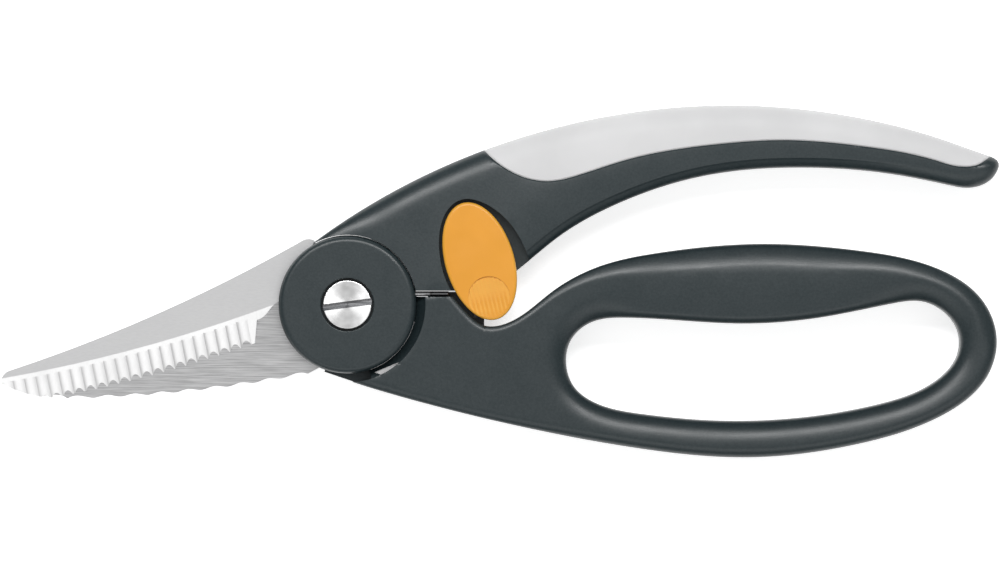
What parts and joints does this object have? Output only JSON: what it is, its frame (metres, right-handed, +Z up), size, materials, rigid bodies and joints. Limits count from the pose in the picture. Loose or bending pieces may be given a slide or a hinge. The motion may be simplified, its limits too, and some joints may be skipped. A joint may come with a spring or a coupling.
{
  "type": "poultry shears",
  "caption": "Spring-opened poultry shears: serrated front blade, wavy-backed rear blade, moulded bow handle with soft grip, closed finger loop and a swinging thumb lock.",
  "frame": {"origin": "on the pivot axis, on the plane the shears rest on, at the centre of the pivot nut's rear face", "axes": "+X towards the ends of the handles, +Y towards the upper handle, +Z up along the pivot axis, out of the front face"},
  "size_m": [0.2298, 0.0811, 0.0154],
  "materials": {
    "handle_plastic": "fine-textured dark grey-green polyamide",
    "cap_plastic": "fine-textured dark grey-green polyamide",
    "grip_soft": "light grey soft-touch overmould, satin",
    "lever_orange": "orange moulded plastic, satin",
    "blade_steel": "satin-ground stainless steel",
    "rear_blade_steel": "stainless steel brushed along the blade",
    "pivot_steel": "turned bright stainless steel",
    "spring_steel": "drawn spring steel",
    "washer_polymer": "natural white low-friction polymer"
  },
  "bodies": {
    "lower_half": {"lower_handle": "handle_plastic", "front_blade": "blade_steel", "pivot_nut": "pivot_steel", "pivot_bush": "pivot_steel", "rear_washer": "washer_polymer", "blade_washer": "washer_polymer", "pivot_cap": "cap_plastic", "spring_washer": "spring_steel", "pivot_screw": "pivot_steel", "opening_spring": "spring_steel", "catch_pin": "pivot_steel"},
    "upper_half": {"upper_handle": "handle_plastic", "rear_blade": "rear_blade_steel", "grip_insert": "grip_soft"},
    "lock": {"lock_lever": "lever_orange", "lock_latch": "spring_steel", "latch_rivets": "pivot_steel", "lock_screw": "pivot_steel", "lock_washer": "pivot_steel", "lock_spring_washer": "spring_steel"}
  },
  "joints": [
    {"name": "main_pivot", "type": "hinge", "parent": "lower_half", "child": "upper_half", "pos_m": [0, 0, 0.00665], "axis": [0, 0, 1], "range_deg": [0, 35], "deforming": ["opening_spring", "lock_latch"]},
    {"name": "lock_swing", "type": "hinge", "parent": "upper_half", "child": "lock", "pos_m": [0.0282, 0.019, 0.007], "axis": [0, 0, 1], "range_deg": [0, 12]}
  ]
}
